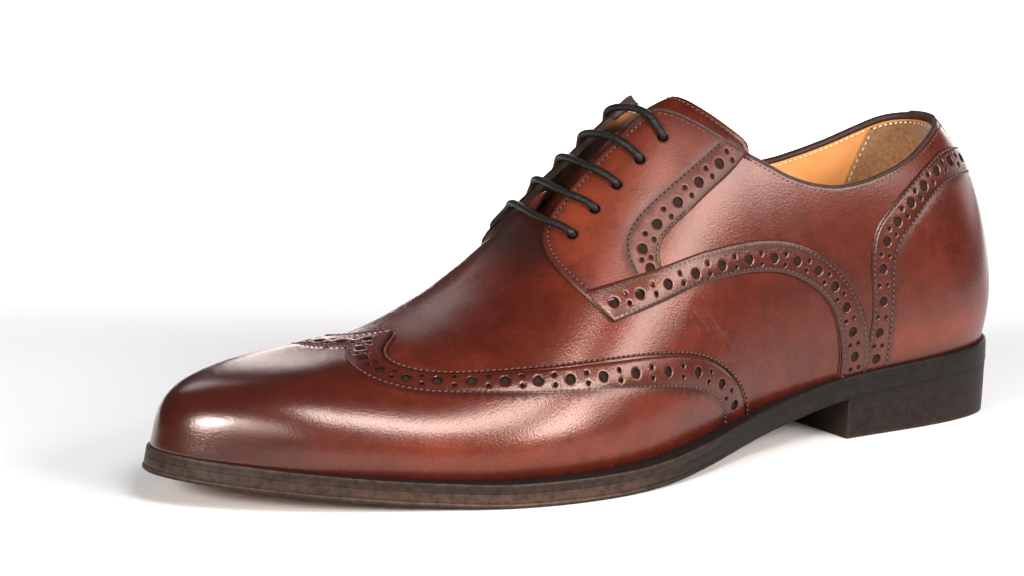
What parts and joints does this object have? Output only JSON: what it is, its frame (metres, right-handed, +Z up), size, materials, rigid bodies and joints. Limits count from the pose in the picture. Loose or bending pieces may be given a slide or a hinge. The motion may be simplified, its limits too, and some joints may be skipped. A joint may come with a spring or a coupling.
{
  "type": "full brogue derby",
  "caption": "Left leather derby shoe with wing cap, perforated bands, open lacing over a tongue, welted leather sole and stacked heel.",
  "frame": {"origin": "on the floor, under the middle of the shoe's box", "axes": "+X towards the toe, +Y towards the outer side of the left foot, +Z up"},
  "size_m": [0.3034, 0.1128, 0.1121],
  "materials": {
    "calf": "burnished reddish brown calf, polished",
    "lining": "tan vegetable tanned lining leather",
    "sole_edge": "dark inked and waxed sole leather",
    "lace_cord": "round waxed cotton cord"
  },
  "bodies": {
    "root": {"upper": "calf", "tongue": "calf", "insole": "lining", "welt": "sole_edge", "outsole": "sole_edge", "heel": "sole_edge", "lace": "lace_cord"}
  },
  "joints": []
}
